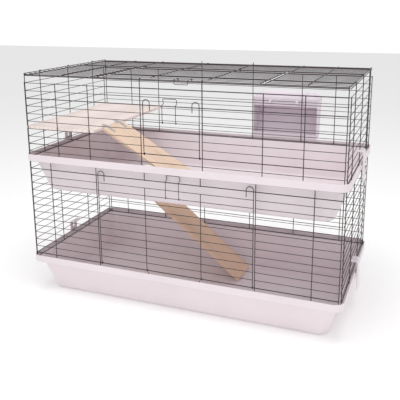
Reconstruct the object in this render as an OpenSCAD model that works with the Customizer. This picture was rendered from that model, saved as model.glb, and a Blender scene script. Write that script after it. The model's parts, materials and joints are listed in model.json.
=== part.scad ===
// Two-storey wire cage for rabbits: two plastic trays, wire walls and roof, three wire doors,
// a wooden shelf with two wooden ramps, a hay rack on the back and four plastic tray clips.
// Millimetres. +X runs along the length, -Y is the front with the two doors, +Z is up.
// The origin is on the ground, in the middle of the lower tray.

/* [Cage] */
// Length of the wire walls
cage_l = 1160; // [1060:10:1240]
// Depth of the wire walls
cage_d = 576; // [556:2:620]
// Height of the roof wires above the ground
roof_z = 841; // [838:1:848]
// Height of the floor of the upper storey
upper_z = 400; // [398:1:401]

/* [Wire] */
// Diameter of the thin wires
thin_d = 2.2; // [1.8:0.1:2.4]
// Diameter of the posts
post_d = 3; // [2.4:0.1:3.2]
// Diameter of the frame wires that carry doors and edges
frame_d = 3.2; // [2.8:0.1:3.4]
// Spacing of the thin wires
pitch = 28.1; // [27.8:0.1:28.3]

/* [Trays] */
// Height of a tray
tray_h = 147; // [144:1:147]
// Wall of a tray
tray_t = 3; // [2.5:0.5:3.5]
// How far the rim stands outside the wires
rim_out = 12.5; // [12:0.5:16]
// How far the floor of a tray lies inside its wall's top
taper = 30; // [20:1:36]

/* [Doors] */
// Half the width of the lower door and of the roof door
wide_door = 289; // [270:1:290]
// Half the width of the upper door
narrow_door = 102; // [90:1:104]
// Width of the hooks at the top of the front doors
hook_w = 25; // [20:1:28]

/* [Wood] */
// Thickness of the shelf
shelf_t = 9.6; // [8:0.2:12]
// Thickness of the ramps
ramp_t = 9; // [7:0.5:12]
// Width of the ramps
ramp_w = 146; // [120:2:150]

/* [Hay rack] */
// Width of the hay rack
rack_w = 264; // [220:2:270]
// Depth of the hay rack at its top
rack_d = 95; // [80:1:110]

/* [Hidden] */
$fn = 32;

wire_c = [0.24, 0.17, 0.20];
tray_c = [0.80, 0.76, 0.79];
wood_c = [0.90, 0.80, 0.70];
steel_c = [0.70, 0.70, 0.72];

gap = 0.03;                         // air left between crossing wires, which are spot welded
run = 0.3;                          // air around what moves
thin = thin_d / 2;
post = post_d / 2;
frame = frame_d / 2;

// Half sizes of the walls: thin wires lie on these planes, posts stand outside them
hx = cage_l / 2;
hy = cage_d / 2 - 2;
front = -hy;
side_post = hx + thin + post + gap; // posts of the end walls
face_post = hy + thin + post + gap; // posts of the front and back walls
face_frame = hy + thin - frame;     // frame wires are flush with the thin ones outside
row_end = hx - 3;                   // where the wires of the front and back walls end
side_end = hy - 2;                  // where the wires of the end walls end
corner_x = row_end - post;          // corner posts of the front and back walls
corner_y = side_end - post;         // corner posts of the end walls

// Trays
rim_x = hx + rim_out;
rim_y = cage_d / 2 + rim_out;
rim_r = 33;                         // corner radius of the rim
rim_h = 26;                         // height of the rim's skirt
ledge_z = tray_h - 14;              // the ledge that the walls stand on
tub_in = 19.5;                      // how far the tub's wall lies inside the rim
tub_r = 40;
foot_in = 14;                       // bevel round the bottom
foot_h = 14;

// Heights of the wires
stand = ledge_z + frame;            // the lowest wire stands on the ledge
sill = 153;                         // the lower door hangs here
lower_rows = 12;                    // thin wires from the sill to the top of the doorway
door_top = sill + lower_rows * pitch;
lower_top = door_top + 27.5;
tray2_top = upper_z + tray_h;
stand2 = upper_z + stand;
row2 = tray2_top + 10;              // first wire above the upper tray
sill2 = row2 + pitch;               // the upper door hangs here
door2_top = sill2 + 6 * pitch;
upper_last = sill2 + 8 * pitch;     // last thin wire under the roof
upper_top = upper_last + 27;

// Posts along the length and along the depth
lower_x = [487, 296, 104];
upper_x = [448, 316, 112];
lower_y = [98];
upper_y = [187, 0];

// Doors: their posts lie just in front of the frame wires
leaf_post = 1.4;
leaf_y = face_frame + frame + run + leaf_post;
leaf_row_y = leaf_y - leaf_post - thin - gap;
eye_r = leaf_y - face_frame;        // middle radius of a hinge eye
eye_wire = 1.3;

// Latches
latch_half = 24.5;
latch_wire = 1.1;
latch_eye = 2.6;
latch_leg = 60;                     // where a leg turns in, just over the doorway's top wire
latch_rise = 80;
latch_in = 10.4;                    // how far in the legs reach
latch_bar = 5;                      // how far in the bar lies
latch_trim = 1.7;
latch_bend = 5;
low_latch_z = sill + 10 * pitch;
up_latch_z = sill2 + 4 * pitch;

// Roof
roof_mid = 18;                      // the roof's cross wires stand a little to the right
roof_rows = 20;
roof_step = (2 * hy - 2) / roof_rows;
roof_front = -hy + 1;
roof_hinge_row = 13;
roof_hinge_y = roof_front + roof_hinge_row * roof_step;
cross_z = roof_z + thin + post + gap;
roof_frame_z = roof_z + thin - frame;
roof_leaf_z = roof_frame_z + frame + run + leaf_post;
roof_leaf_row_z = roof_leaf_z - leaf_post - thin - gap;
roof_x = [436, 304];
roof_latch_y = roof_front + roof_step;
roof_latch_x = 22;

// Wood
shelf_z = sill2 + 2 * pitch + thin + 0.3;
shelf_right = -298;
shelf_front = hy + thin - 0.2;
floor_z = tray_t;
floor2_z = upper_z + tray_t;
hole_x = [-350, -160];
hole_y = [14, 206];
up_ramp_y = [-231, -231 + ramp_w];
low_ramp_y = [37, 37 + ramp_w];
up_ramp_a = 31;
low_ramp_a = 39.2;
ramp_gap = 6;                       // from the edge that a ramp hangs on to its end
hook_t = 1.5;
hook_flat = 15;

// Hay rack
rack_x = 246;
rack_y = face_post + post + 0.6;
rack_z = tray2_top + 3;
rack_top = rack_z + 154;
rack_foot = 59;
rack_t = 2;
lid_h = 26;
rod_r = 1.5;
rod_y = rack_y + rack_d + 3;
rod_z = rack_top + 4;
knuckle_r = 3.4;

// Clips
clip_w = 46;
pin_x = rim_x + 6.5;
pin_z = tray_h - 13;
pin_r = 2;
clip_tail = 57;
clip_slot = 10;

// Wires along X, along Y and upright
module row(x0, x1, y, z, r) translate([x0, y, z]) rotate([0, 90, 0]) cylinder(h = x1 - x0, r = r);
module depth(y0, y1, x, z, r) translate([x, y0, z]) rotate([-90, 0, 0]) cylinder(h = y1 - y0, r = r);
module upright(z0, z1, x, y, r) translate([x, y, z0]) cylinder(h = z1 - z0, r = r);

// A thin wire with a gap for a doorway, and the same wire on both sides of it
module split_row(y, z, doorway) {
    row(-row_end, -doorway, y, z, thin);
    row(doorway, row_end, y, z, thin);
}

// A round bend of a wire: a part of a ring in the XY plane, from angle a0 over the given sweep
module bend(r_mid, r, a0, sweep) rotate([0, 0, a0])
    rotate_extrude(angle = sweep) translate([r_mid, 0]) circle(r = r);

// An eye round a wire along X or along Y, from angle a0 over the given sweep
module eye_x(x, y, z, r_mid, a0, sweep) translate([x, y, z]) rotate([90, 0, 90])
    bend(r_mid, eye_wire, a0, sweep);
module eye_y(x, y, z, r_mid, a0, sweep) translate([x, y, z]) rotate([90, 0, 0])
    bend(r_mid, eye_wire, a0, sweep);

// A flat plate with round corners, half sizes a and b
module plate(a, b, r, h) linear_extrude(height = h) {
    square([2 * a - 2 * r, 2 * b], center = true);
    square([2 * a, 2 * b - 2 * r], center = true);
    for (sx = [-1, 1], sy = [-1, 1]) translate([sx * (a - r), sy * (b - r)]) circle(r = r);
}

// The tub of a tray, drawn in by d all round, from height z0 to height z1
module tub(d, z0, z1) {
    top_a = rim_x - tub_in - d;
    top_b = rim_y - tub_in - d;
    hull() {
        translate([0, 0, z1 - 0.01]) plate(top_a, top_b, tub_r - 12 - d, 0.01);
        translate([0, 0, foot_h]) plate(top_a - taper, top_b - taper, tub_r - d, 0.01);
        translate([0, 0, z0]) plate(top_a - taper - foot_in, top_b - taper - foot_in, tub_r - d, 0.01);
    }
}

// Two ears at the middle of an end hold a clip's pin
module clip_ears(s) for (e = [-1, 1]) difference() {
    hull() {
        translate([s * (rim_x - 1), e * (clip_w / 2 + 3), pin_z]) cube([2, 5, 18], center = true);
        translate([s * pin_x, e * (clip_w / 2 + 3), pin_z]) rotate([90, 0, 0])
            cylinder(h = 5, r = 4.5, center = true);
    }
    translate([s * pin_x, e * (clip_w / 2 + 3), pin_z]) rotate([90, 0, 0])
        cylinder(h = 7, r = pin_r + 0.05, center = true);
}

module tray() {
    difference() {
        union() {
            tub(0, 0, ledge_z);
            translate([0, 0, ledge_z - tray_t])
                plate(rim_x - tray_t / 2, rim_y - tray_t / 2, rim_r - tray_t / 2, tray_t);
        }
        translate([0, 0, tray_t]) tub(tray_t, 0, ledge_z - tray_t + 1);
    }
    translate([0, 0, tray_h - rim_h]) difference() {
        plate(rim_x, rim_y, rim_r, rim_h);
        translate([0, 0, -1]) plate(rim_x - tray_t, rim_y - tray_t, rim_r - tray_t, rim_h + 2);
    }
    for (s = [-1, 1]) clip_ears(s);
}

module lower_tray() color(tray_c) tray();

module upper_tray() color(tray_c) translate([0, 0, upper_z]) difference() {
    tray();
    translate([(hole_x[0] + hole_x[1]) / 2, (hole_y[0] + hole_y[1]) / 2, -1])
        plate((hole_x[1] - hole_x[0]) / 2, (hole_y[1] - hole_y[0]) / 2, 12, tray_t + 2);
}

// Front and back walls: s is -1 for the front and 1 for the back
module corner_posts(s, z0, z1) for (e = [-1, 1]) upright(z0, z1, e * corner_x, s * face_post, post);

module lower_front_panel() color(wire_c) {
    for (z = [stand, sill, door_top, lower_top]) row(-row_end, row_end, -face_frame, z, frame);
    for (i = [1 : lower_rows - 1]) split_row(front, sill + i * pitch, lower_x[1] - post);
    corner_posts(-1, ledge_z + 0.1, upper_z + ledge_z - tray_t - 0.1);
    for (e = [-1, 1]) {
        for (x = [lower_x[0], lower_x[1]]) upright(ledge_z + 0.1, lower_top + frame, e * x, -face_post, post);
        upright(door_top - frame, lower_top + frame, e * lower_x[2], -face_post, post);
        upright(ledge_z + 0.1, sill - eye_r - eye_wire - 1, e * (lower_x[2] - 6), -face_post, post);
    }
}

module lower_back_panel() color(wire_c) {
    for (z = [stand, lower_top]) row(-row_end, row_end, face_frame, z, frame);
    for (i = [0 : lower_rows]) row(-row_end, row_end, hy, sill + i * pitch, thin);
    corner_posts(1, ledge_z + 0.1, upper_z + ledge_z - tray_t - 0.1);
    for (x = lower_x, e = [-1, 1]) upright(ledge_z + 0.1, lower_top + frame, e * x, face_post, post);
}

// End walls: s is -1 for the left and 1 for the right
module end_wall(s, bottom, rows, top, posts, ends, z0, z1, corner_z) {
    for (z = [bottom, top]) depth(-side_end, side_end, s * (hx + thin - frame), z, frame);
    for (z = rows) depth(-side_end, side_end, s * hx, z, thin);
    for (y = ends) upright(z0, corner_z, s * side_post, y, post);
    for (y = posts) upright(z0, z1, s * side_post, y, post);
}

module lower_end(s) end_wall(s, stand, [for (i = [0 : lower_rows]) sill + i * pitch], lower_top,
    [for (y = lower_y, e = [-1, 1]) e * y], [-corner_y, corner_y], ledge_z + 0.1,
    lower_top + frame, upper_z + ledge_z - tray_t - 0.1);

module upper_end(s) end_wall(s, stand2, [for (i = [0 : 9]) row2 + i * pitch], upper_top,
    [-upper_y[0], upper_y[1], upper_y[0]], [-corner_y, corner_y], upper_z + ledge_z + 0.1,
    cross_z - gap, upper_last + 3);

module lower_left_panel() color(wire_c) lower_end(-1);
module lower_right_panel() color(wire_c) lower_end(1);
module upper_left_panel() color(wire_c) upper_end(-1);
module upper_right_panel() color(wire_c) upper_end(1);

module upper_front_panel() color(wire_c) {
    for (z = [stand2, sill2, door2_top, upper_top]) row(-row_end, row_end, -face_frame, z, frame);
    for (z = [row2, door2_top + pitch, upper_last]) row(-row_end, row_end, front, z, thin);
    for (i = [1 : 5]) split_row(front, sill2 + i * pitch, upper_x[2] - post);
    corner_posts(-1, upper_z + ledge_z + 0.1, roof_frame_z - gap);
    for (e = [-1, 1]) {
        for (x = [upper_x[0], upper_x[1]])
            upright(upper_z + ledge_z + 0.1, upper_last + 3, e * x, -face_post, post);
        upright(upper_z + ledge_z + 0.1, roof_frame_z - gap, e * upper_x[2], -face_post, post);
    }
}

module upper_back_panel() color(wire_c) {
    for (z = [stand2, upper_top]) row(-row_end, row_end, face_frame, z, frame);
    for (i = [0 : 9]) row(-row_end, row_end, hy, row2 + i * pitch, thin);
    corner_posts(1, upper_z + ledge_z + 0.1, roof_frame_z - gap);
    for (e = [-1, 1]) {
        for (x = [upper_x[0], upper_x[1]])
            upright(upper_z + ledge_z + 0.1, upper_last + 3, e * x, face_post, post);
        upright(upper_z + ledge_z + 0.1, roof_z + 10, e * upper_x[2], face_post, post);
    }
}

// The roof: thin wires along the length, cross wires on top of them, and an opening for its door
module roof_panel() color(wire_c) {
    opening = roof_x[1] - post;
    for (i = [0, roof_hinge_row, roof_rows])
        row(-row_end, row_end, roof_front + i * roof_step, roof_frame_z, frame);
    for (i = [1 : roof_hinge_row - 1]) {
        row(-row_end, roof_mid - opening, roof_front + i * roof_step, roof_z, thin);
        row(roof_mid + opening, row_end, roof_front + i * roof_step, roof_z, thin);
    }
    for (i = [roof_hinge_row + 1 : roof_rows - 1])
        row(-row_end, row_end, roof_front + i * roof_step, roof_z, thin);
    for (e = [-1, 1]) {
        depth(-hy, hy, e * (side_post - eye_r), cross_z, post);
        for (x = roof_x) depth(-hy, hy - 4, roof_mid + e * x, cross_z, post);
        // beside the door's inner posts, which fold back past them
        depth(roof_hinge_y - frame, hy - 4, roof_mid + e * (lower_x[2] - 6), cross_z, post);
    }
}

// The tops of the posts are bent over the roof's edge wires
module panel_eyes() color(wire_c) for (e = [-1, 1]) {
    for (x = [corner_x, upper_x[2]])
        eye_x(e * x, roof_front, roof_frame_z, face_post + roof_front, 0, 180);
    eye_x(e * corner_x, -roof_front, roof_frame_z, face_post + roof_front, 0, 180);
    for (y = [-upper_y[0], upper_y[1], upper_y[0]])
        eye_y(e * (side_post - eye_r), y, cross_z, eye_r, 0, 180);
}

// Door leaves: posts and thin wires, with the posts just outside the frame wires
module leaf(half, inner, z0, z1, tall, rows) {
    for (e = [-1, 1]) {
        upright(z0, tall, e * half, -leaf_y, leaf_post);
        if (inner > 0) upright(z0, z1 + thin, e * inner, -leaf_y, leaf_post);
    }
    for (i = [1 : rows]) row(-half - leaf_post, half + leaf_post, -leaf_row_y, z0 + i * pitch, thin);
}

// A door's tall posts end in hooks that reach over the top of the doorway
module leaf_hooks(half, z) for (e = [-1, 1]) {
    translate([e * (half - hook_w / 2), -leaf_y, z]) rotate([90, 0, 0]) bend(hook_w / 2, leaf_post, 0.2, 179.6);
    upright(z - 24, z - gap, e * (half - hook_w), -leaf_y, leaf_post);
}

hook_z = door_top + 5;
hook2_z = door2_top + 7;

module lower_door() color(wire_c)
    leaf(wide_door, lower_x[2], sill, sill + 11 * pitch, hook_z - gap, 11);
module lower_door_hooks() color(wire_c) leaf_hooks(wide_door, hook_z);
module lower_door_eyes() color(wire_c) for (x = [wide_door, lower_x[2]], e = [-1, 1])
    eye_x(e * x, -face_frame, sill - gap, eye_r, 180, 270);
module upper_door() color(wire_c) leaf(narrow_door, 0, sill2, 0, hook2_z - gap, 5);
module upper_door_hooks() color(wire_c) leaf_hooks(narrow_door, hook2_z);
module upper_door_eyes() color(wire_c) for (e = [-1, 1])
    eye_x(e * narrow_door, -face_frame, sill2 - gap, eye_r, 180, 270);

// A wire of a latch between the points a and b, given as [y, z], short of both
module slant(x, a, b) {
    way = b - a;
    translate([x, a[0], a[1]]) rotate([-atan2(way[0], way[1]), 0, 0]) translate([0, 0, latch_trim])
        cylinder(h = norm(way) - 2 * latch_trim, r = latch_wire);
}

// A latch: a U of wire that turns on a thin wire of its door, drawn with its axis on X.
// Its legs stand in front of the doorway's top wire, turn in over it, and rise to the bar
module latch() {
    knee = [-latch_eye, latch_leg];
    toe = [latch_in, latch_leg + 3];
    for (e = [-1, 1]) {
        upright(0, latch_leg - latch_trim, e * latch_half, -latch_eye, latch_wire);
        slant(e * latch_half, knee, toe);
        slant(e * latch_half, toe, [latch_bar, latch_rise]);
    }
    row(-latch_half - latch_wire, latch_half + latch_wire, latch_bar, latch_rise, latch_wire);
}

// The feet of a latch's legs are bent round the wire that it turns on
module latch_eyes() for (e = [-1, 1]) translate([e * latch_half, 0, -gap]) rotate([90, 0, 90])
    bend(latch_eye, latch_wire, 180, 270);

module lower_door_latch() color(wire_c) translate([0, -leaf_row_y, low_latch_z]) latch();
module upper_door_latch() color(wire_c) translate([-6.5, -leaf_row_y, up_latch_z]) latch();

module lower_latch_eyes() color(wire_c) translate([0, -leaf_row_y, low_latch_z]) latch_eyes();
module upper_latch_eyes() color(wire_c) translate([-6.5, -leaf_row_y, up_latch_z]) latch_eyes();

// The roof door lies on the roof and turns on the roof's hinge wire
module roof_door() color(wire_c) {
    for (e = [-1, 1]) {
        depth(roof_front - 7, roof_hinge_y, roof_mid + e * wide_door, roof_leaf_z, leaf_post);
        depth(roof_front + roof_step, roof_hinge_y, roof_mid + e * lower_x[2], roof_leaf_z, leaf_post);
    }
    for (i = [1 : roof_hinge_row - 1])
        row(roof_mid - wide_door - leaf_post, roof_mid + wide_door + leaf_post,
            roof_front + i * roof_step, roof_leaf_row_z, thin);
}
module roof_door_eyes() color(wire_c) for (x = [wide_door, lower_x[2]], e = [-1, 1])
    eye_x(roof_mid + e * x, roof_hinge_y + gap, roof_frame_z, roof_leaf_z - roof_frame_z, 180, 270);
// The roof latch reaches over the roof's front edge and hangs down before the front wall
module roof_door_latch() color(wire_c) translate([roof_mid + roof_latch_x, 0, 0]) {
    top = roof_leaf_row_z + latch_eye;
    out = face_post + post + latch_wire + 0.6;
    for (e = [-1, 1]) {
        depth(-out + latch_bend, roof_latch_y, e * latch_half, top, latch_wire);
        translate([e * latch_half, -out + latch_bend - gap, top - latch_bend]) rotate([90, 0, 90])
            bend(latch_bend, latch_wire, 90, 90);
        upright(upper_top - 7, top - latch_bend - gap, e * latch_half, -out, latch_wire);
    }
    row(-latch_half - latch_wire, latch_half + latch_wire, -out, upper_top - 7 - latch_wire - gap, latch_wire);
}

module roof_latch_eyes() color(wire_c)
    translate([roof_mid + roof_latch_x, roof_latch_y + gap, roof_leaf_row_z + gap]) latch_eyes();

module shelf_board() color(wood_c) translate([-hx - thin + 0.2, -shelf_front, shelf_z])
    cube([shelf_right + hx + thin - 0.2, 2 * shelf_front, shelf_t]);

// A ramp: x0 and z0 are the edge that it hangs on, a its slope, len its length along the slope
module ramp_board(x0, z0, a, y, len) translate([x0 + ramp_gap, y[0], z0]) rotate([0, a, 0])
    translate([0, 0, -ramp_t]) cube([len, y[1] - y[0], ramp_t]);

// Two steel hooks on a ramp lie over the edge and are screwed to the board
module ramp_hooks(x0, z0, a, y) for (q = [0.2, 0.8]) translate([x0, y[0] + q * (y[1] - y[0]) - 7, z0]) {
    rotate([90, 0, 0]) mirror([0, 0, 1]) linear_extrude(height = 14) polygon([
        [-hook_flat, hook_flat * tan(20) + run], [-hook_flat, hook_flat * tan(20) + run + hook_t],
        [ramp_gap * 0.6, run + hook_t + 1],
        [ramp_gap + 6 * cos(a) + hook_t * sin(a), -6 * sin(a) + hook_t * cos(a) + gap],
        [ramp_gap + 34 * cos(a) + hook_t * sin(a), -34 * sin(a) + hook_t * cos(a) + gap],
        [ramp_gap + 34 * cos(a), -34 * sin(a) + gap],
        [ramp_gap, gap], [0, run]]);
}
module screws(x0, z0, a, y) for (q = [0.2, 0.8]) translate([x0 + ramp_gap, y[0] + q * (y[1] - y[0]), z0])
    rotate([0, a, 0]) translate([24, 0, hook_t + 2 * gap]) cylinder(h = 1.6, r1 = 3.2, r2 = 2);

up_len = (shelf_z + shelf_t - floor2_z - run - ramp_t * cos(up_ramp_a)) / sin(up_ramp_a);
low_len = (floor2_z - floor_z - run - ramp_t * cos(low_ramp_a)) / sin(low_ramp_a);

module upper_ramp_board() color(wood_c)
    ramp_board(shelf_right, shelf_z + shelf_t, up_ramp_a, up_ramp_y, up_len);
module upper_ramp_hooks() color(steel_c) ramp_hooks(shelf_right, shelf_z + shelf_t, up_ramp_a, up_ramp_y);
module lower_ramp_board() color(wood_c) ramp_board(hole_x[0], floor2_z, low_ramp_a, low_ramp_y, low_len);
module lower_ramp_hooks() color(steel_c) ramp_hooks(hole_x[0], floor2_z, low_ramp_a, low_ramp_y);
module upper_ramp_screws() color(steel_c) screws(shelf_right, shelf_z + shelf_t, up_ramp_a, up_ramp_y);
module lower_ramp_screws() color(steel_c) screws(hole_x[0], floor2_z, low_ramp_a, low_ramp_y);

// The hay rack hangs on the back wall, open towards the wires and at its top
module rack_block(inset, z0, z1) translate([rack_x - rack_w / 2 + inset, 0, 0]) rotate([90, 0, 90])
    linear_extrude(height = rack_w - 2 * inset) polygon([
        [rack_y + (inset > 0 ? -1 : 0), z0],
        [rack_y + rack_foot - inset, z0],
        [rack_y + rack_d - inset, z1],
        [rack_y + (inset > 0 ? -1 : 0), z1]]);

module hay_rack_bin() color(tray_c) {
    difference() {
        rack_block(0, rack_z, rack_top);
        translate([0, 0, rack_t]) rack_block(rack_t, rack_z, rack_top);
    }
    translate([rack_x - rack_w / 2, rack_y, rack_top - 26]) cube([rack_w, rack_t, 26]);
    translate([rack_x - rack_w / 2, rack_y, rack_z]) cube([rack_w, rack_t, 16]);
    for (e = [-1, 1]) difference() {
        translate([rack_x + e * (rack_w / 2 - 5) - 4, rod_y - 6, rack_top - 10]) cube([8, 10, 17]);
        row(rack_x - rack_w / 2 - 5, rack_x + rack_w / 2 + 5, rod_y, rod_z, rod_r + 0.05);
    }
}

module hay_rack_lid() color(tray_c) {
    z0 = rack_top + run;
    x_half = rack_w / 2 - 12;
    difference() {
        hull() {
            translate([rack_x - rack_w / 2, rack_y, z0]) cube([rack_w, rack_d - 8, 6]);
            translate([rack_x - rack_w / 2 + 22, rack_y + 14, z0 + lid_h - 1]) cube([rack_w - 44, rack_d - 40, 1]);
        }
        hull() {
            translate([rack_x - rack_w / 2 + rack_t, rack_y + rack_t, z0 - 1])
                cube([rack_w - 2 * rack_t, rack_d - 8 - 2 * rack_t, 6]);
            translate([rack_x - rack_w / 2 + 23, rack_y + 15, z0 + lid_h - 1 - rack_t])
                cube([rack_w - 46, rack_d - 42, 1]);
        }
    }
    for (e = [-1, 1]) translate([rack_x + e * (x_half - 12), 0, 0]) difference() {
        union() {
            translate([-6, rod_y - 12, z0]) cube([12, 12, 6]);
            row(-6, 6, rod_y, rod_z, knuckle_r);
        }
        row(-7, 7, rod_y, rod_z, rod_r + 0.08);
    }
}

module hay_rack_hinge_rod() color(steel_c)
    row(rack_x - rack_w / 2 + 0.5, rack_x + rack_w / 2 - 0.5, rod_y, rod_z, rod_r);

// Two hooks carry the rack on a thin wire of the back wall
module hay_rack_hooks() color(tray_c) {
    wire_z = sill2 + 4 * pitch;
    for (x = [-60, 50]) translate([rack_x + x - 5, 0, 0]) rotate([90, 0, 90]) linear_extrude(height = 10)
        polygon([[rack_y - gap, wire_z - 12], [rack_y - gap, wire_z + thin + 2.3],
            [hy - thin - 2.3, wire_z + thin + 2.3],
            [hy - thin - 2.3, wire_z - 7], [hy - thin - 0.3, wire_z - 7], [hy - thin - 0.3, wire_z + thin + 0.3],
            [rack_y - 2, wire_z + thin + 0.3], [rack_y - 2, wire_z - 12]]);
}

// A clip turns on its pin, and its forked head reaches over a wire of the end wall.
// It is drawn for the right end, with base the foot of its tray and hook_z the height of the wire
module clip(base, hook_z) {
    top = hook_z + thin + 0.3;
    tip = hx - thin - 3;
    pin = base + pin_z;
    difference() {
        translate([0, clip_w / 2, 0]) rotate([90, 0, 0]) linear_extrude(height = clip_w) {
            polygon([[tip, top], [pin_x - 5, top], [pin_x - 2, top - 3], [pin_x - 2, pin],
                [pin_x + 1, pin - clip_tail], [pin_x + 5, pin - clip_tail], [pin_x + 2, pin],
                [pin_x + 2, top], [pin_x - 4, top + 4.5], [tip + 3, top + 4.5], [tip, top + 3]]);
            translate([pin_x, pin]) circle(r = 4.6);
        }
        depth(-clip_w / 2 - 1, clip_w / 2 + 1, pin_x, pin, pin_r + 0.08);
        translate([hx - 10, -clip_slot / 2, base + tray_h + 8]) cube([40, clip_slot, 60]);
    }
}

module lower_left_clip() color(tray_c) mirror([1, 0, 0]) clip(0, sill + pitch);
module lower_right_clip() color(tray_c) clip(0, sill + pitch);
module upper_left_clip() color(tray_c) mirror([1, 0, 0]) clip(upper_z, sill2);
module upper_right_clip() color(tray_c) clip(upper_z, sill2);
module clip_pins() color(steel_c) for (s = [-1, 1], z = [0, upper_z])
    depth(-clip_w / 2 - 6.5, clip_w / 2 + 6.5, s * pin_x, z + pin_z, pin_r);

lower_tray();
upper_tray();
lower_front_panel();
lower_back_panel();
lower_left_panel();
lower_right_panel();
upper_front_panel();
upper_back_panel();
upper_left_panel();
upper_right_panel();
roof_panel();
panel_eyes();
lower_door();
lower_door_hooks();
lower_door_eyes();
lower_door_latch();
lower_latch_eyes();
upper_door();
upper_door_hooks();
upper_door_eyes();
upper_door_latch();
upper_latch_eyes();
roof_door();
roof_door_eyes();
roof_door_latch();
roof_latch_eyes();
shelf_board();
upper_ramp_board();
upper_ramp_hooks();
lower_ramp_board();
lower_ramp_hooks();
upper_ramp_screws();
lower_ramp_screws();
hay_rack_bin();
hay_rack_lid();
hay_rack_hinge_rod();
hay_rack_hooks();
lower_left_clip();
lower_right_clip();
upper_left_clip();
upper_right_clip();
clip_pins();
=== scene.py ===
import bpy
from math import radians
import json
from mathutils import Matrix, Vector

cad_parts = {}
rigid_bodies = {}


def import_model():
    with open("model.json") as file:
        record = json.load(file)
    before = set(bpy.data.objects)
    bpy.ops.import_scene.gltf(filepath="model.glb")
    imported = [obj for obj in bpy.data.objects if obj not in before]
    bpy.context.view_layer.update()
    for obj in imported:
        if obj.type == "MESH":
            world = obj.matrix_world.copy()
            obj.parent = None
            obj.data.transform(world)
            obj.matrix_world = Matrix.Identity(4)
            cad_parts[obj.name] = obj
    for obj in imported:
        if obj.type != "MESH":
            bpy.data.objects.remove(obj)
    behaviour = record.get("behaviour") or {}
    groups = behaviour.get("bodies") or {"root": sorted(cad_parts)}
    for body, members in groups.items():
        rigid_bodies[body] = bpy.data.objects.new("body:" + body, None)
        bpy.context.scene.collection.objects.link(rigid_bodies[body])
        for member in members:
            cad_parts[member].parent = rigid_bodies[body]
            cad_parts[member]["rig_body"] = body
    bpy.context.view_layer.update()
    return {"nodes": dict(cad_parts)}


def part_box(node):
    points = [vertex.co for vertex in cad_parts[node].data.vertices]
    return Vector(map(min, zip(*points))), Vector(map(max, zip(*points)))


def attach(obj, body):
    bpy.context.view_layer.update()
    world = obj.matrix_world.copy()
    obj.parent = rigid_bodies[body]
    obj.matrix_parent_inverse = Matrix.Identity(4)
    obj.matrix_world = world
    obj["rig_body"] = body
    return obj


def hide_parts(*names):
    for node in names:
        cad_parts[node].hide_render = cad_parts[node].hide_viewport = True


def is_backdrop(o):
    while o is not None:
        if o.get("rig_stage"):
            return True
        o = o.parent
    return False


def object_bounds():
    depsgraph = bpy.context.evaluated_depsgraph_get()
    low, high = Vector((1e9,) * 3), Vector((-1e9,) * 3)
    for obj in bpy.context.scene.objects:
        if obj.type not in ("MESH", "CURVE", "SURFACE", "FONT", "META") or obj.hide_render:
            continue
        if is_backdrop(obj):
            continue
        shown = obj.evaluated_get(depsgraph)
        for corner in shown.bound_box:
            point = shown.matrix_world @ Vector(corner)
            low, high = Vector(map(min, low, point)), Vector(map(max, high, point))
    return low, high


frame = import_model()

camera_data = bpy.data.cameras.new("camera")
camera_data.sensor_width = 36
camera_data.lens = 54.3
camera_data.shift_y = -0.125
camera = bpy.data.objects.new("camera", camera_data)
camera.location = (0.8126, -2.0835, 1.0809)
camera.rotation_euler = (radians(76.44), radians(0.43), radians(21.44))
bpy.context.scene.collection.objects.link(camera)
bpy.context.scene.camera = camera

# Trays: two tubs injection moulded in a pale mauve plastic, with sloped walls, a rounded
# foot and a ledge for the wires inside a deep rim. The upper one is cut out for the ramp.
import bmesh
from math import cos, sin, tan, degrees, pi
from mathutils import Matrix, Vector

MM = 0.001


def add(tree, kind, inputs=None, **settings):
    made = tree.nodes.new(kind)
    for name, value in settings.items():
        setattr(made, name, value)
    for name, value in (inputs or {}).items():
        if isinstance(value, bpy.types.NodeSocket):
            tree.links.new(value, made.inputs[name])
        else:
            made.inputs[name].default_value = value
    return made


def effect(name, inputs, outputs):
    group = bpy.data.node_groups.new(name, "ShaderNodeTree")
    for title, kind, value in inputs:
        socket = group.interface.new_socket(title, in_out="INPUT", socket_type=kind)
        if value is not None:
            socket.default_value = value
    for title, kind in outputs:
        group.interface.new_socket(title, in_out="OUTPUT", socket_type=kind)
    return group, group.nodes.new("NodeGroupInput"), group.nodes.new("NodeGroupOutput")


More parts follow.
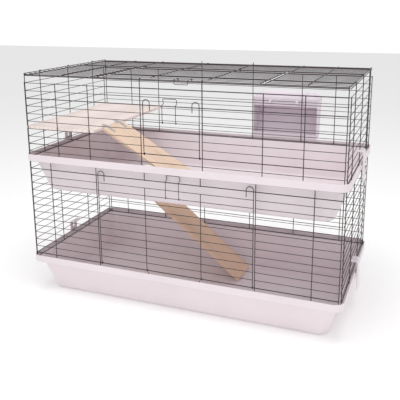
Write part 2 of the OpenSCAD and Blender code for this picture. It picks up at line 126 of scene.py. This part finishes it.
def moulded_skin():
    group, given, out = effect("moulded_skin",
        [("Colour", "NodeSocketColor", (0.7, 0.7, 0.7, 1)), ("Gloss", "NodeSocketFloat", 0.4)],
        [("Colour", "NodeSocketColor"), ("Roughness", "NodeSocketFloat"),
         ("Height", "NodeSocketFloat")])
    place = add(group, "ShaderNodeTexCoord").outputs["Object"]
    cloud = add(group, "ShaderNodeTexNoise", {"Vector": place, "Scale": 5.0, "Detail": 3.0})
    tint = add(group, "ShaderNodeHueSaturation", {"Color": given.outputs["Colour"],
        "Value": add(group, "ShaderNodeMapRange", {"Value": cloud.outputs["Fac"],
            "From Min": 0.3, "From Max": 0.7, "To Min": 0.965, "To Max": 1.03}).outputs["Result"]})
    # rubbing marks: thin, short streaks where the noise is near its top
    streaks = add(group, "ShaderNodeMapping", {"Vector": place, "Scale": (14, 90, 240)})
    rubbed = add(group, "ShaderNodeTexNoise", {"Vector": streaks.outputs["Vector"],
        "Scale": 1.0, "Detail": 5.0, "Roughness": 0.65})
    scuff = add(group, "ShaderNodeMapRange", {"Value": rubbed.outputs["Fac"],
        "From Min": 0.6, "From Max": 0.74, "To Min": 0.0, "To Max": 0.14})
    rough = add(group, "ShaderNodeMath", {0: given.outputs["Gloss"], 1: scuff.outputs["Result"]},
        operation="ADD")
    peel = add(group, "ShaderNodeTexNoise", {"Vector": place, "Scale": 700.0, "Detail": 2.0})
    group.links.new(tint.outputs["Color"], out.inputs["Colour"])
    group.links.new(rough.outputs["Value"], out.inputs["Roughness"])
    group.links.new(peel.outputs["Fac"], out.inputs["Height"])
    return group


skin = moulded_skin()


def skinned(tree, surface, strength, distance):
    """Join a surface group's colour, roughness and height to the material's shader."""
    shader = tree.nodes["Principled BSDF"]
    relief = add(tree, "ShaderNodeBump", {"Height": surface.outputs["Height"],
        "Strength": strength, "Distance": distance})
    tree.links.new(surface.outputs["Colour"], shader.inputs["Base Color"])
    tree.links.new(surface.outputs["Roughness"], shader.inputs["Roughness"])
    tree.links.new(relief.outputs["Normal"], shader.inputs["Normal"])


def moulded_plastic(name, colour, gloss, bump=0.06):
    made = bpy.data.materials.new(name)
    made.use_nodes = True
    tree = made.node_tree
    surface = add(tree, "ShaderNodeGroup", node_tree=skin)
    surface.inputs["Colour"].default_value = (*colour, 1)
    surface.inputs["Gloss"].default_value = gloss
    skinned(tree, surface, bump, 0.0004)
    tree.nodes["Principled BSDF"].inputs["Specular IOR Level"].default_value = 0.45
    return made


def finished(bm, name, nodes, material, smooth=38, bevel=0.0, segments=2):
    mesh = bpy.data.meshes.new(name)
    bm.to_mesh(mesh)
    bm.free()
    mesh.materials.append(material)
    for face in mesh.polygons:
        face.use_smooth = True
    mesh.set_sharp_from_angle(angle=radians(smooth))
    piece = bpy.data.objects.new(name, mesh)
    bpy.context.scene.collection.objects.link(piece)
    if bevel:
        edge = piece.modifiers.new("rounded_edges", "BEVEL")
        edge.width, edge.segments, edge.limit_method = bevel, segments, "ANGLE"
        edge.angle_limit = radians(32)
        edge.harden_normals = True
    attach(piece, frame["nodes"][nodes[0]]["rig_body"])
    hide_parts(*nodes)
    return piece


def new_ones(made, kind):
    return [item for item in made["geom"] if isinstance(item, kind)]


def drawn_on(bm, edges, old, new):
    """Extrude a loop with round corners from the size old to the size new."""
    made = bmesh.ops.extrude_edge_only(bm, edges=edges)
    verts = new_ones(made, bmesh.types.BMVert)
    kept = set(verts)
    loop = [e for e in new_ones(made, bmesh.types.BMEdge) if e.verts[0] in kept and e.verts[1] in kept]
    middle = Vector((old[4], old[5], 0)) * MM
    for sx in (-1, 1):
        for sy in (-1, 1):
            corner = [v for v in verts if (v.co.x - middle.x) * sx > 0 and (v.co.y - middle.y) * sy > 0]
            was = Vector((old[4] + sx * (old[0] - old[2]), old[5] + sy * (old[1] - old[2]), old[3])) * MM
            now = Vector((new[4] + sx * (new[0] - new[2]), new[5] + sy * (new[1] - new[2]), new[3])) * MM
            size = new[2] / old[2]
            bmesh.ops.scale(bm, vec=(size, size, 1), space=Matrix.Translation(-was), verts=corner)
            bmesh.ops.translate(bm, vec=now - was, verts=corner)
    return loop


def round_sheet(bm, size, segments):
    """Add a flat sheet with round corners, and give back its edges."""
    older = set(bm.edges)
    verts = bmesh.ops.create_grid(bm, x_segments=1, y_segments=1, size=1)["verts"]
    bmesh.ops.scale(bm, vec=(size[0] * MM, size[1] * MM, 1), verts=verts)
    bmesh.ops.translate(bm, vec=Vector((size[4], size[5], size[3])) * MM, verts=verts)
    bmesh.ops.bevel(bm, geom=verts, offset=size[2] * MM, offset_type="OFFSET", segments=segments,
        profile=0.5, affect="VERTICES", material=-1)
    return [e for e in bm.edges if e not in older]


tray_plastic = moulded_plastic("tray_plastic_pale_mauve", (0.82, 0.735, 0.77), 0.36)


def tray(node, hole=None):
    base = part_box(node)[0].z / MM
    wall, rim_a, rim_b, rim_top, rim_foot = 3.0, 592.5, 300.5, 147, 121
    foot, floor_a, floor_b = 14, 526, 234
    ledge_a, ledge_b, ledge_z = 570, 278, 133
    lined_a, lined_b = rim_a - wall, rim_b - wall
    turns = [radians(a) for a in (0, 22, 45, 68, 90)]
    # each step: half the length, half the width, the corners' radius and the height, in mm
    inside = [(floor_a + foot * sin(t), floor_b + foot * sin(t), 37, wall + foot - foot * cos(t))
        for t in turns]
    inside += [(ledge_a, ledge_b, 25, ledge_z), (lined_a, lined_b, 30, ledge_z),
        (lined_a, lined_b, 30, rim_top)]
    outside = [(rim_a, rim_b, 33, rim_top), (rim_a, rim_b, 33, rim_foot), (lined_a, lined_b, 30, rim_foot),
        (lined_a, lined_b, 30, ledge_z - wall), (ledge_a + wall, ledge_b + wall, 28, ledge_z - wall)]
    outside += [(floor_a + wall + foot * sin(t), floor_b + wall + foot * sin(t), 40, foot - foot * cos(t))
        for t in reversed(turns)]
    steps = [(a, b, r, z + base, 0, 0) for a, b, r, z in inside + outside]
    bm = bmesh.new()
    first = round_sheet(bm, steps[0], 7)
    floor = bm.faces[:]
    loop = first
    for old, new in zip(steps, steps[1:]):
        loop = drawn_on(bm, loop, old, new)
    if hole:
        bmesh.ops.delete(bm, geom=floor, context="FACES_ONLY")
        top = (*hole[:3], base + wall, *hole[3:])
        rim = round_sheet(bm, top, 5)
        cut = [f for e in rim for f in e.link_faces]
        bmesh.ops.delete(bm, geom=list(set(cut)), context="FACES_ONLY")
        lip = drawn_on(bm, rim, top, (*hole[:3], base, *hole[3:]))
        bmesh.ops.triangle_fill(bm, use_beauty=True, edges=first + rim)
        bmesh.ops.triangle_fill(bm, use_beauty=True, edges=loop + lip)
    else:
        bmesh.ops.edgeloop_fill(bm, edges=loop)
    # ears that hold the pins of the clips, two at the middle of each end
    ear_x, boss_x, ear_y, pin_z = 592.2, 599, 26, base + 134
    for s in (-1, 1):
        for e in (-1, 1):
            block = bmesh.ops.create_cube(bm, size=1)["verts"]
            bmesh.ops.scale(bm, vec=Vector((2, 5, 18)) * MM, verts=block)
            bmesh.ops.translate(bm, vec=Vector((s * ear_x, e * ear_y, pin_z)) * MM, verts=block)
            boss = bmesh.ops.create_cone(bm, cap_ends=True, segments=24, radius1=4.5 * MM,
                radius2=4.5 * MM, depth=5 * MM, matrix=Matrix.Translation(
                    Vector((s * boss_x, e * ear_y, pin_z)) * MM) @ Matrix.Rotation(pi / 2, 4, "X"))["verts"]
            hull = bmesh.ops.convex_hull(bm, input=block + boss)
            spare = [v for v in hull["geom_interior"] if isinstance(v, bmesh.types.BMVert)]
            bmesh.ops.delete(bm, geom=spare, context="VERTS")
    bmesh.ops.dissolve_limit(bm, angle_limit=radians(0.5), verts=bm.verts,
        edges=[e for e in bm.edges if e.is_manifold and e.calc_face_angle(1) < 0.008])
    bmesh.ops.recalc_face_normals(bm, faces=bm.faces)
    return finished(bm, node + "_moulding", [node], tray_plastic,
        bevel=1.1 * MM, segments=3)


tray("lower_tray")
tray("upper_tray", hole=(95, 96, 12, -255, 110))

# Wire walls and roof: drawn steel wires, thin ones along and posts across, spot welded
# wherever they cross and then coated in a dark plum powder.
def coated_wire():
    group, given, out = effect("powder_coat",
        [("Colour", "NodeSocketColor", (0.03, 0.02, 0.02, 1)), ("Gloss", "NodeSocketFloat", 0.4)],
        [("Colour", "NodeSocketColor"), ("Roughness", "NodeSocketFloat"),
         ("Height", "NodeSocketFloat")])
    place = add(group, "ShaderNodeTexCoord").outputs["Object"]
    cloud = add(group, "ShaderNodeTexNoise", {"Vector": place, "Scale": 30.0, "Detail": 3.0})
    tint = add(group, "ShaderNodeHueSaturation", {"Color": given.outputs["Colour"],
        "Value": add(group, "ShaderNodeMapRange", {"Value": cloud.outputs["Fac"],
            "From Min": 0.3, "From Max": 0.7, "To Min": 0.8, "To Max": 1.25}).outputs["Result"]})
    rough = add(group, "ShaderNodeMath", {0: given.outputs["Gloss"],
        1: add(group, "ShaderNodeMapRange", {"Value": cloud.outputs["Fac"], "From Min": 0.3,
            "From Max": 0.7, "To Min": -0.05, "To Max": 0.08}).outputs["Result"]}, operation="ADD")
    grit = add(group, "ShaderNodeTexNoise", {"Vector": place, "Scale": 1800.0, "Detail": 2.0})
    group.links.new(tint.outputs["Color"], out.inputs["Colour"])
    group.links.new(rough.outputs["Value"], out.inputs["Roughness"])
    group.links.new(grit.outputs["Fac"], out.inputs["Height"])
    made = bpy.data.materials.new("plum_powder_coat")
    made.use_nodes = True
    tree = made.node_tree
    surface = add(tree, "ShaderNodeGroup", node_tree=group)
    surface.inputs["Colour"].default_value = (0.034, 0.019, 0.024, 1)
    surface.inputs["Gloss"].default_value = 0.38
    skinned(tree, surface, 0.15, 0.0002)
    return made


plum_coat = coated_wire()


def cut_wires(node):
    """The straight wires of a node, each as its axis, middle, half length and radius."""
    bm = bmesh.new()
    bm.from_mesh(frame["nodes"][node].data)
    bmesh.ops.remove_doubles(bm, verts=bm.verts, dist=0.01 * MM)
    seen, wires = set(), []
    for start in bm.verts:
        if start in seen:
            continue
        seen.add(start)
        queue, corners = [start], []
        while queue:
            vert = queue.pop()
            corners.append(vert.co.copy())
            for edge in vert.link_edges:
                other = edge.other_vert(vert)
                if other not in seen:
                    seen.add(other)
                    queue.append(other)
        low = Vector([min(c[k] for c in corners) for k in range(3)])
        high = Vector([max(c[k] for c in corners) for k in range(3)])
        size = high - low
        along = max(range(3), key=lambda k: size[k])
        wires.append((along, (low + high) / 2, size[along] / 2, size[(along + 1) % 3] / 2))
    bm.free()
    return wires


def facing(at, aim):
    """The place of a round that stands at a point and faces along a line."""
    return Matrix.Translation(at) @ aim.to_track_quat("Z", "Y").to_matrix().to_4x4()


def straight_wires(bm, wires, sides=12):
    for along, middle, half, radius in wires:
        aim = Vector([float(k == along) for k in range(3)])
        bmesh.ops.create_cone(bm, cap_ends=True, segments=sides, radius1=radius, radius2=radius,
            depth=2 * half, matrix=facing(middle, aim))
    ends = [e for e in bm.edges if any(len(f.verts) == sides for f in e.link_faces)]
    bmesh.ops.bevel(bm, geom=ends, offset=0.4 * MM, offset_type="OFFSET", segments=2, profile=0.5,
        affect="EDGES", material=-1)


def spot_welds(bm, wires):
    for i, (along, middle, half, radius) in enumerate(wires):
        for across, centre, reach, other in wires[i + 1:]:
            if across == along:
                continue
            off = 3 - along - across
            if abs(middle[off] - centre[off]) > radius + other + 0.1 * MM:
                continue
            if abs(centre[along] - middle[along]) > half or abs(middle[across] - centre[across]) > reach:
                continue
            spot = Vector((0, 0, 0))
            spot[along], spot[across] = centre[along], middle[across]
            spot[off] = (middle[off] * other + centre[off] * radius) / (radius + other)
            flat = Vector((1.35, 1.35, 1.35))
            flat[off] = 0.8
            bead = bmesh.ops.create_icosphere(bm, subdivisions=1, radius=min(radius, other))["verts"]
            bmesh.ops.scale(bm, vec=flat, verts=bead)
            bmesh.ops.translate(bm, vec=spot, verts=bead)


walls = [level + side + "_panel" for level in ("lower_", "upper_")
    for side in ("front", "back", "left", "right")]
for node in walls + ["roof_panel"]:
    wires = cut_wires(node)
    bm = bmesh.new()
    straight_wires(bm, wires)
    spot_welds(bm, wires)
    finished(bm, node + "_wires", [node], plum_coat, smooth=60)

# Eyes of the wall posts: the posts' own tops, bent over the roof's edge wires by machine.
# They keep the shape of the frame and take the same powder coat.
for node in ["panel_eyes", "roof_door_eyes", "roof_latch_eyes"]:
    for slot in frame["nodes"][node].material_slots:
        slot.material = plum_coat

# Doors: three leaves of the same wire. Each front leaf hangs by eyes bent round a frame
# wire, and its tall posts end in hooks over the top of the doorway.
def bent_wire(bm, path, radius, sides=12):
    points = [Vector(point) for point, bend in path]
    at, aim = points[0], (points[1] - points[0]).normalized()
    ring = bmesh.ops.create_circle(bm, cap_ends=True, segments=sides, radius=radius,
        matrix=facing(at, aim))["verts"]
    edges = list({e for v in ring for e in v.link_edges})
    for i in range(1, len(points)):
        aim, trim = (points[i] - at).normalized(), 0.0
        if i < len(points) - 1:
            turned = (points[i + 1] - points[i]).normalized()
            angle = aim.angle(turned)
            trim = path[i][1] * tan(angle / 2)
        length = (points[i] - at).length - trim
        if length > 0.01 * MM:
            made = bmesh.ops.extrude_edge_only(bm, edges=edges)
            verts = new_ones(made, bmesh.types.BMVert)
            kept = set(verts)
            edges = [e for e in new_ones(made, bmesh.types.BMEdge)
                if e.verts[0] in kept and e.verts[1] in kept]
            bmesh.ops.translate(bm, vec=aim * length, verts=verts)
        if trim:
            axis = aim.cross(turned).normalized()
            tangent = points[i] - aim * trim
            spun = bmesh.ops.spin(bm, geom=edges, cent=tangent + axis.cross(aim) * path[i][1], axis=axis,
                dvec=(0, 0, 0), angle=angle, steps=max(2, round(degrees(angle) / 15)), use_duplicate=False)
            edges = [e for e in spun["geom_last"] if isinstance(e, bmesh.types.BMEdge)]
            at = points[i] + turned * trim
    bmesh.ops.edgeloop_fill(bm, edges=edges)


def eye_path(x, y, z, size):
    """An eye that ends going up at the point x, y, z; the wire it turns on is behind that point."""
    return [((x, y + size, z + size), 0), ((x, y + 2 * size, z + size), size),
        ((x, y + 2 * size, z - size), size), ((x, y, z - size), size)]


eye = 3.3 * MM
hook = 12.5 * MM
for name in ["lower_door", "upper_door"]:
    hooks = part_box(name + "_hooks")[1].z
    wires = cut_wires(name)
    posts = [w for w in wires if w[0] == 2]
    tallest = max(w[1].z + w[2] for w in posts)
    bm = bmesh.new()
    straight_wires(bm, [w for w in wires if w[0] != 2])
    for along, middle, half, radius in posts:
        path = eye_path(middle.x, middle.y, middle.z - half, eye)
        if middle.z + half > tallest - MM:
            top = hooks - radius
            inward = -2 * hook if middle.x > 0 else 2 * hook
            path += [((middle.x, middle.y, top), hook), ((middle.x + inward, middle.y, top), hook),
                ((middle.x + inward, middle.y, top - hook - 24 * MM), 0)]
        else:
            path += [((middle.x, middle.y, middle.z + half), 0)]
        bent_wire(bm, path, radius)
    spot_welds(bm, wires)
    bmesh.ops.recalc_face_normals(bm, faces=bm.faces)
    finished(bm, name + "_leaf", [name, name + "_hooks", name + "_eyes"], plum_coat,
        smooth=60)

wires = cut_wires("roof_door")
bm = bmesh.new()
straight_wires(bm, wires)
spot_welds(bm, wires)
finished(bm, "roof_door_leaf_wires", ["roof_door"], plum_coat, smooth=60)

# Latches: a U of thin wire on each door. Its feet are eyes round a wire of the door; its
# legs turn in over the doorway's top wire, and the bar between them is the grip.
for name in ["lower", "upper"]:
    low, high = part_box(name + "_door_latch")
    thick = 1.1 * MM
    eye_size = 2.6 * MM
    left, right = low.x + thick, high.x - thick
    front, foot, top = low.y + thick, low.z, high.z - thick
    knee = (front, foot + 60 * MM)
    toe = (front + 13 * MM, foot + 63 * MM)
    bar = (front + 7.6 * MM, top)
    path = eye_path(left, front, foot, eye_size)
    path += [((left, *knee), 2 * MM), ((left, *toe), 2 * MM), ((left, *bar), 4 * MM)]
    path += [((right, p[1], p[2]), bend) for p, bend in reversed(path)]
    bm = bmesh.new()
    bent_wire(bm, path, thick)
    bmesh.ops.recalc_face_normals(bm, faces=bm.faces)
    finished(bm, name + "_latch_wire", [name + "_door_latch", name + "_latch_eyes"], plum_coat,
        smooth=60)

low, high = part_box("roof_door_latch")
thick = 1.1 * MM
side = [((low.x + thick, high.y, high.z - thick), 0),
    ((low.x + thick, low.y + thick, high.z - thick), 5 * MM),
    ((low.x + thick, low.y + thick, low.z + thick), 4 * MM)]
other = [((high.x - thick, p[1], p[2]), bend) for p, bend in reversed(side)]
bm = bmesh.new()
bent_wire(bm, side + other, thick)
bmesh.ops.recalc_face_normals(bm, faces=bm.faces)
finished(bm, "roof_latch_wire", ["roof_door_latch"], plum_coat, smooth=60)

# Shelf and ramps: planed pine boards with their edges eased. The shelf lies on the wires;
# each ramp hangs by two steel hooks screwed to its top end.
def pine_group():
    group, given, out = effect("pine_grain",
        [("Vector", "NodeSocketVector", None), ("Light", "NodeSocketColor", (0.8, 0.6, 0.4, 1)),
         ("Dark", "NodeSocketColor", (0.6, 0.4, 0.2, 1))],
        [("Colour", "NodeSocketColor"), ("Roughness", "NodeSocketFloat"), ("Height", "NodeSocketFloat")])
    place = given.outputs["Vector"]
    slow = add(group, "ShaderNodeMapping", {"Vector": place, "Scale": (1.1, 7, 7)})
    drift = add(group, "ShaderNodeTexNoise", {"Vector": slow.outputs["Vector"], "Scale": 1.6, "Detail": 2.0})
    bands = add(group, "ShaderNodeTexWave", {"Vector": slow.outputs["Vector"], "Scale": 2.4,
        "Distortion": 5.5, "Detail": 2.0, "Detail Scale": 0.8}, wave_type="BANDS", bands_direction="Y")
    fibres = add(group, "ShaderNodeTexNoise", {"Vector": add(group, "ShaderNodeMapping",
        {"Vector": place, "Scale": (9, 420, 420)}).outputs["Vector"], "Scale": 1.0, "Detail": 4.0})
    late = add(group, "ShaderNodeMapRange", {"Value": bands.outputs["Fac"], "From Min": 0.55,
        "From Max": 1.0, "To Min": 0.0, "To Max": 0.62})
    fine = add(group, "ShaderNodeMapRange", {"Value": fibres.outputs["Fac"], "From Min": 0.45,
        "From Max": 0.75, "To Min": 0.0, "To Max": 0.3})
    mask = add(group, "ShaderNodeMath", {0: late.outputs["Result"], 1: fine.outputs["Result"]},
        operation="ADD")
    knots = add(group, "ShaderNodeTexVoronoi", {"Vector": add(group, "ShaderNodeMapping",
        {"Vector": place, "Scale": (3.2, 6.5, 0.5), "Location": (0.3, 0.1, 0.2)}).outputs["Vector"],
        "Scale": 1.0, "Randomness": 1.0})
    knot = add(group, "ShaderNodeMapRange", {"Value": knots.outputs["Distance"], "From Min": 0.035,
        "From Max": 0.075, "To Min": 0.7, "To Max": 0.0})
    whole = add(group, "ShaderNodeMath", {0: mask.outputs["Value"], 1: knot.outputs["Result"]},
        operation="MAXIMUM", use_clamp=True)
    wood = add(group, "ShaderNodeMix", {"Factor": whole.outputs["Value"]}, data_type="RGBA")
    group.links.new(given.outputs["Light"], wood.inputs[6])
    group.links.new(given.outputs["Dark"], wood.inputs[7])
    shade = add(group, "ShaderNodeHueSaturation", {"Color": wood.outputs[2], "Value": add(group,
        "ShaderNodeMapRange", {"Value": drift.outputs["Fac"], "From Min": 0.3, "From Max": 0.7,
        "To Min": 0.93, "To Max": 1.05}).outputs["Result"]})
    rough = add(group, "ShaderNodeMapRange", {"Value": whole.outputs["Value"],
        "To Min": 0.62, "To Max": 0.48})
    group.links.new(shade.outputs["Color"], out.inputs["Colour"])
    group.links.new(rough.outputs["Result"], out.inputs["Roughness"])
    group.links.new(mask.outputs["Value"], out.inputs["Height"])
    return group


grain = pine_group()


def pine(name, light, dark, slope, turn):
    made = bpy.data.materials.new(name)
    made.use_nodes = True
    tree = made.node_tree
    along = add(tree, "ShaderNodeMapping", {"Vector": add(tree, "ShaderNodeTexCoord").outputs["Object"],
        "Rotation": (0, -radians(slope), radians(turn))})
    surface = add(tree, "ShaderNodeGroup", node_tree=grain)
    tree.links.new(along.outputs["Vector"], surface.inputs["Vector"])
    surface.inputs["Light"].default_value = (*light, 1)
    surface.inputs["Dark"].default_value = (*dark, 1)
    skinned(tree, surface, 0.18, 0.0005)
    return made


def frame_copy(node):
    bm = bmesh.new()
    bm.from_mesh(frame["nodes"][node].data)
    bmesh.ops.remove_doubles(bm, verts=bm.verts, dist=0.02 * MM)
    bmesh.ops.dissolve_limit(bm, angle_limit=radians(1), verts=bm.verts, edges=bm.edges)
    return bm


# All three boards are the same pine. The shelf's paler tint is painted light from the bright light above,
# and the lower ramp's darker tint is painted shade inside the lower tier.
boards = {"shelf_board": pine("pine_shelf_painted_light", (0.88, 0.77, 0.74), (0.76, 0.62, 0.55), 0, 90),
    "upper_ramp_board": pine("pine_upper_ramp", (0.86, 0.66, 0.52), (0.70, 0.48, 0.33), 31, 0),
    "lower_ramp_board": pine("pine_lower_ramp_painted_shade", (0.85, 0.62, 0.47), (0.68, 0.43, 0.28), 39.2, 0)}
for node, wood in boards.items():
    finished(frame_copy(node), node + "_planed", [node], wood, bevel=0.9 * MM, segments=3)

# Ramp hooks and screws: zinc plated steel strip, bent over the edge that a ramp hangs on,
# with a screw through each into the board. The screws keep the shape of the frame.
def zinc():
    made = bpy.data.materials.new("zinc_plated_steel")
    made.use_nodes = True
    tree = made.node_tree
    shader = tree.nodes["Principled BSDF"]
    shader.inputs["Metallic"].default_value = 1
    place = add(tree, "ShaderNodeTexCoord").outputs["Object"]
    cells = add(tree, "ShaderNodeTexVoronoi", {"Vector": place, "Scale": 260.0})
    colour = add(tree, "ShaderNodeValToRGB", {"Fac": cells.outputs["Distance"]})
    colour.color_ramp.elements[0].color = (0.60, 0.60, 0.62, 1)
    colour.color_ramp.elements[1].color = (0.74, 0.74, 0.75, 1)
    rubbed = add(tree, "ShaderNodeTexNoise", {"Vector": place, "Scale": 400.0, "Detail": 4.0})
    rough = add(tree, "ShaderNodeMapRange", {"Value": rubbed.outputs["Fac"], "To Min": 0.24, "To Max": 0.44})
    relief = add(tree, "ShaderNodeBump", {"Height": rubbed.outputs["Fac"],
        "Strength": 0.1, "Distance": 0.0002})
    tree.links.new(colour.outputs["Color"], shader.inputs["Base Color"])
    tree.links.new(rough.outputs["Result"], shader.inputs["Roughness"])
    tree.links.new(relief.outputs["Normal"], shader.inputs["Normal"])
    return made


steel = zinc()
for node in ["upper_ramp_hooks", "lower_ramp_hooks"]:
    finished(frame_copy(node), node + "_strip", [node], steel, bevel=0.3 * MM)
for node in ["upper_ramp_screws", "lower_ramp_screws"]:
    for slot in frame["nodes"][node].material_slots:
        slot.material = steel

# Hay rack: a moulded bin on the back wall, open towards the wires, with a hollow lid that
# turns on a steel rod. Two hooks carry it on a thin wire.
rack_plastic = moulded_plastic("rack_plastic_grey_mauve", (0.84, 0.75, 0.82), 0.42)
for node in ["hay_rack_bin", "hay_rack_lid", "hay_rack_hooks"]:
    finished(frame_copy(node), node + "_moulding", [node], rack_plastic,
        bevel=0.5 * MM)

# Clips: four moulded catches, one at the middle of each end of both trays. Each turns on a
# steel pin, and its forked head snaps over a wire of the end wall.
clip_plastic = moulded_plastic("clip_plastic_pale", (0.84, 0.77, 0.82), 0.34)
for node in ["lower_left_clip", "lower_right_clip", "upper_left_clip", "upper_right_clip"]:
    finished(frame_copy(node), node + "_moulding", [node], clip_plastic,
        bevel=0.5 * MM)
for node in ["clip_pins", "hay_rack_hinge_rod"]:
    wires = cut_wires(node)
    bm = bmesh.new()
    straight_wires(bm, wires, 20)
    finished(bm, node + "_steel", [node], steel, smooth=60)

# Floor and light: a plain white studio floor, a bright even sky and two wide soft lamps.
floor_mesh = bpy.data.meshes.new("studio_floor")
bm = bmesh.new()
bmesh.ops.create_grid(bm, x_segments=1, y_segments=1, size=12)
bmesh.ops.translate(bm, vec=(0, 0, -0.0005), verts=bm.verts)
bm.to_mesh(floor_mesh)
bm.free()
floor = bpy.data.objects.new("studio_floor", floor_mesh)
bpy.context.scene.collection.objects.link(floor)
paper = bpy.data.materials.new("white_paper")
paper.use_nodes = True
paper_shader = paper.node_tree.nodes["Principled BSDF"]
paper_shader.inputs["Base Color"].default_value = (0.93, 0.93, 0.93, 1)
paper_shader.inputs["Roughness"].default_value = 0.9
paper_shader.inputs["Emission Color"].default_value = (1, 1, 1, 1)
paper_shader.inputs["Emission Strength"].default_value = 0.14
floor_mesh.materials.append(paper)
floor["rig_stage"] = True

world = bpy.data.worlds.new("studio_sky")
world.use_nodes = True
bpy.context.scene.world = world
sky = world.node_tree.nodes["Background"]
sky.inputs["Color"].default_value = (1, 1, 1, 1)
seen = add(world.node_tree, "ShaderNodeLightPath").outputs["Is Camera Ray"]
level = add(world.node_tree, "ShaderNodeMapRange", {"Value": seen, "To Min": 0.7, "To Max": 1.05})
world.node_tree.links.new(level.outputs["Result"], sky.inputs["Strength"])
for name, place, size, power in [("top_lamp", (0.1, -0.5, 2.9), 2.2, 36),
        ("front_lamp", (-0.4, -3.2, 1.1), 2.0, 9), ("side_lamp", (2.6, -1.2, 1.6), 1.6, 5)]:
    data = bpy.data.lights.new(name, "AREA")
    data.size, data.energy = size, power
    lamp = bpy.data.objects.new(name, data)
    lamp.location = place
    lamp.rotation_euler = (Vector((0, 0, 0.4)) - Vector(place)).to_track_quat("-Z", "Y").to_euler()
    bpy.context.scene.collection.objects.link(lamp)
bpy.context.scene.view_settings.view_transform = "Standard"

# Size: the finished model's box.
import json

low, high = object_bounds()
